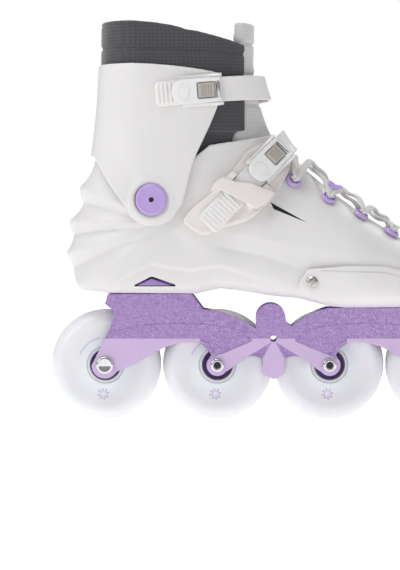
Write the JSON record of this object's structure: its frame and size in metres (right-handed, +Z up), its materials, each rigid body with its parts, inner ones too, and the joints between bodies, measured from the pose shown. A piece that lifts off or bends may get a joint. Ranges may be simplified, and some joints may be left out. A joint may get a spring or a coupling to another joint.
{
  "type": "inline skate",
  "caption": "Inline skate with a moulded laced boot, pivoting cuff, ratchet buckle straps and wheels in a machined frame",
  "frame": {"origin": "on the ground, under the middle of the frame and of the skate's width", "axes": "+X to the toe, +Y to the inner (big toe) side of a right skate, +Z up"},
  "size_m": [0.323, 0.1117, 0.286],
  "materials": {
    "urethane": "satin translucent white urethane",
    "hub_plastic": "smooth moulded nylon",
    "bearing_steel": "dark steel",
    "bright_steel": "polished",
    "anodised_alloy": "machined, purple anodised, satin",
    "shell_plastic": "moulded, smooth satin",
    "cuff_plastic": "moulded, smooth satin",
    "lilac_plastic": "satin",
    "lilac_rubber": "soft, matt",
    "liner_fabric": "padded knit",
    "tongue_fabric": "padded knit",
    "foam": "felt over foam",
    "cream_plastic": "soft-touch moulded",
    "gloss_plastic_white": "polished",
    "beige_plastic": "satin",
    "lace_fabric": "flat woven"
  },
  "bodies": {
    "boot_and_frame": {"bearing_spacer_1": "bearing_steel", "axle_1": "bright_steel", "bearing_spacer_2": "bearing_steel", "axle_2": "bright_steel", "bearing_spacer_3": "bearing_steel", "axle_3": "bright_steel", "bearing_spacer_4": "bearing_steel", "axle_4": "bright_steel", "frame": "anodised_alloy", "shell": "shell_plastic", "mount_bolt_rear": "bearing_steel", "mount_bolt_front": "bearing_steel", "heel_shock_pad": "lilac_rubber", "liner": "liner_fabric", "tongue": "tongue_fabric", "insole": "foam", "cuff_pivot_bolt_outer": "lilac_plastic", "cuff_pivot_bolt_inner": "lilac_plastic", "side_plate_outer": "shell_plastic", "side_plate_screw_outer": "bright_steel", "lace_eyelet_outer_1": "lilac_plastic", "lace_eyelet_outer_2": "lilac_plastic", "lace_eyelet_outer_3": "lilac_plastic", "lace_eyelet_outer_4": "lilac_plastic", "side_plate_inner": "shell_plastic", "side_plate_screw_inner": "bright_steel", "lace_eyelet_inner_1": "lilac_plastic", "lace_eyelet_inner_2": "lilac_plastic", "lace_eyelet_inner_3": "lilac_plastic", "lace_eyelet_inner_4": "lilac_plastic", "instep_strap_base": "cream_plastic", "instep_ladder_strap": "cream_plastic", "instep_buckle_frame": "gloss_plastic_white", "instep_lever_pin": "bright_steel", "lace": "lace_fabric"},
    "wheel_1": {"tyre_1": "urethane", "wheel_core_1": "hub_plastic", "bearing_inner_side_1": "bearing_steel", "bearing_outer_side_1": "bearing_steel"},
    "wheel_2": {"tyre_2": "urethane", "wheel_core_2": "hub_plastic", "bearing_inner_side_2": "bearing_steel", "bearing_outer_side_2": "bearing_steel"},
    "wheel_3": {"tyre_3": "urethane", "wheel_core_3": "hub_plastic", "bearing_inner_side_3": "bearing_steel", "bearing_outer_side_3": "bearing_steel"},
    "wheel_4": {"tyre_4": "urethane", "wheel_core_4": "hub_plastic", "bearing_inner_side_4": "bearing_steel", "bearing_outer_side_4": "bearing_steel"},
    "cuff_body": {"cuff": "cuff_plastic", "liner_collar": "liner_fabric", "cuff_ladder_strap": "cream_plastic", "cuff_buckle_frame": "gloss_plastic_white", "cuff_lever_pin": "bright_steel"},
    "cuff_lever_body": {"cuff_lever": "gloss_plastic_white"},
    "cuff_button_body": {"cuff_release_button": "beige_plastic"},
    "instep_lever_body": {"instep_lever": "gloss_plastic_white"},
    "instep_button_body": {"instep_release_button": "beige_plastic"}
  },
  "joints": [
    {"name": "wheel_1_spin", "type": "hinge", "parent": "boot_and_frame", "child": "wheel_1", "pos_m": [-0.1215, 0, 0.04], "axis": [0, 1, 0], "continuous": true},
    {"name": "wheel_2_spin", "type": "hinge", "parent": "boot_and_frame", "child": "wheel_2", "pos_m": [-0.0405, 0, 0.04], "axis": [0, 1, 0], "continuous": true},
    {"name": "wheel_3_spin", "type": "hinge", "parent": "boot_and_frame", "child": "wheel_3", "pos_m": [0.0405, 0, 0.04], "axis": [0, 1, 0], "continuous": true},
    {"name": "wheel_4_spin", "type": "hinge", "parent": "boot_and_frame", "child": "wheel_4", "pos_m": [0.1215, 0, 0.04], "axis": [0, 1, 0], "continuous": true},
    {"name": "cuff_flex", "type": "hinge", "parent": "boot_and_frame", "child": "cuff_body", "pos_m": [-0.0869, 0, 0.1589], "axis": [0, 1, 0], "range_deg": [0, 14], "deforming": ["liner_collar"]},
    {"name": "instep_lever_lift", "type": "hinge", "parent": "boot_and_frame", "child": "instep_lever_body", "pos_m": [0.00589, -0.03153, 0.19624], "axis": [-0.7192, -0.0005, 0.6949], "range_deg": [0, 80]},
    {"name": "instep_button_press", "type": "slide", "parent": "boot_and_frame", "child": "instep_button_body", "axis": [-0.3174, 0.8898, -0.3278], "range_m": [0, 0.0012], "stiffness_N_per_m": 800, "springref_m": -0.0005},
    {"name": "cuff_lever_lift", "type": "hinge", "parent": "cuff_body", "child": "cuff_lever_body", "pos_m": [-0.03945, -0.05125, 0.23676], "axis": [-0.0838, -0.0426, 0.9956], "range_deg": [0, 80]},
    {"name": "cuff_button_press", "type": "slide", "parent": "cuff_body", "child": "cuff_button_body", "axis": [-0.0813, 0.996, 0.0358], "range_m": [0, 0.0012], "stiffness_N_per_m": 800, "springref_m": -0.0005}
  ]
}
